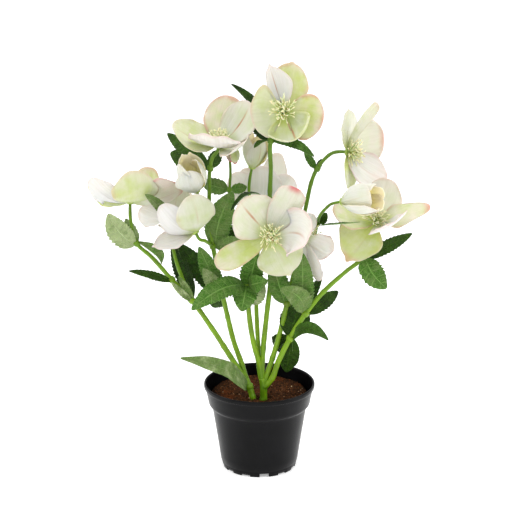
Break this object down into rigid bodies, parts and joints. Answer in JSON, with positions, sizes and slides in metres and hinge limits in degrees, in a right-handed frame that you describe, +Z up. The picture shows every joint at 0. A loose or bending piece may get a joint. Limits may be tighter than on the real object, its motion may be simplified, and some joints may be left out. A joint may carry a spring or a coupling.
{
  "type": "potted christmas rose",
  "caption": "Artificial christmas rose: cream and lime blooms, buds and toothed leaves on branching green stems in a round black nursery pot of peat-brown soil.",
  "frame": {"origin": "centre of the pot's axis on the surface that its foot ring stands on", "axes": "+Z up along the pot's axis, -Y towards the picture's viewer, +X to the viewer's right"},
  "size_m": [0.3234, 0.1562, 0.4079],
  "materials": {
    "pot_black": "satin",
    "peat": "matte",
    "stem_green": "satin",
    "petal_cream": "matte",
    "stamen_lime": "matte",
    "leaf_green": "matte"
  },
  "bodies": {
    "root": {"pot": "pot_black", "soil": "peat", "stems_left_clump": "stem_green", "stems_right_clump": "stem_green", "petals_top": "petal_cream", "centre_top": "stamen_lime", "petals_upper_left": "petal_cream", "centre_upper_left": "stamen_lime", "petals_far_left": "petal_cream", "centre_far_left": "stamen_lime", "petals_left": "petal_cream", "centre_left": "stamen_lime", "petals_front": "petal_cream", "centre_front": "stamen_lime", "petals_behind_front": "petal_cream", "centre_behind_front": "stamen_lime", "petals_upper_right": "petal_cream", "centre_upper_right": "stamen_lime", "petals_right": "petal_cream", "centre_right": "stamen_lime", "petals_back": "petal_cream", "centre_back": "stamen_lime", "petals_back_left": "petal_cream", "centre_back_left": "stamen_lime", "bud_half_open": "petal_cream", "bud_right": "petal_cream", "bud_back": "petal_cream", "bud_nodding": "petal_cream", "leaves_top": "leaf_green", "leaves_upper_left": "leaf_green", "leaves_far_left": "leaf_green", "leaf_low_left": "leaf_green", "leaves_left_dark": "leaf_green", "leaves_left_light": "leaf_green", "leaves_left_mid": "leaf_green", "leaves_centre": "leaf_green", "leaf_centre_small": "leaf_green", "leaves_centre_right": "leaf_green", "leaves_right_fork": "leaf_green", "leaves_right_outer": "leaf_green", "leaves_right_inner": "leaf_green", "leaf_front_arch": "leaf_green", "leaf_basal": "leaf_green", "leaves_right_low": "leaf_green", "leaves_back": "leaf_green", "leaves_upper_right": "leaf_green"}
  },
  "joints": []
}
